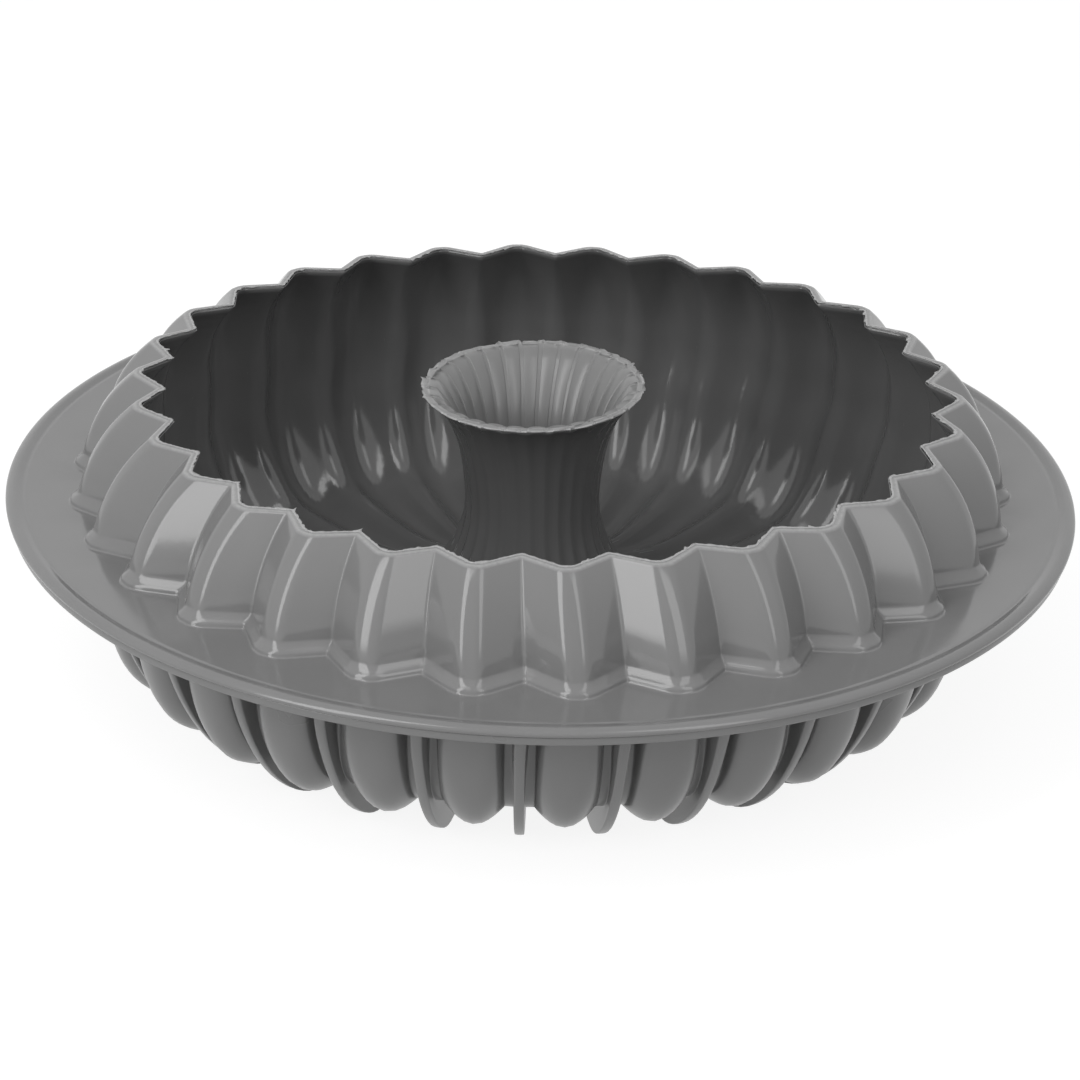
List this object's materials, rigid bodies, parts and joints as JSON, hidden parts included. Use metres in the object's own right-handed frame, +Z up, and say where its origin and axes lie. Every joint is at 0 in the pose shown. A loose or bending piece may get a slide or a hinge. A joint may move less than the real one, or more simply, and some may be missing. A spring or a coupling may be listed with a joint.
{
  "type": "silicone bundt mould",
  "caption": "Round fluted ring-cake mould in soft silicone, with a flat flange half-way up, thin fins as feet, a dark lined cavity and an open centre tube.",
  "frame": {"origin": "on the axis of the centre tube, at the height of the fins' feet", "axes": "+Z up along the axis of the tube, out of the cavity; one fin lies on -Y"},
  "size_m": [0.294, 0.294, 0.085],
  "materials": {
    "grey_silicone": "satin moulded silicone",
    "dark_silicone": "smooth, slightly glossy silicone",
    "steel_wire": "drawn steel wire"
  },
  "bodies": {
    "root": {"collar_shell": "grey_silicone", "belly_shell": "grey_silicone", "cavity_lining": "dark_silicone", "rim_wire": "steel_wire"}
  },
  "joints": []
}
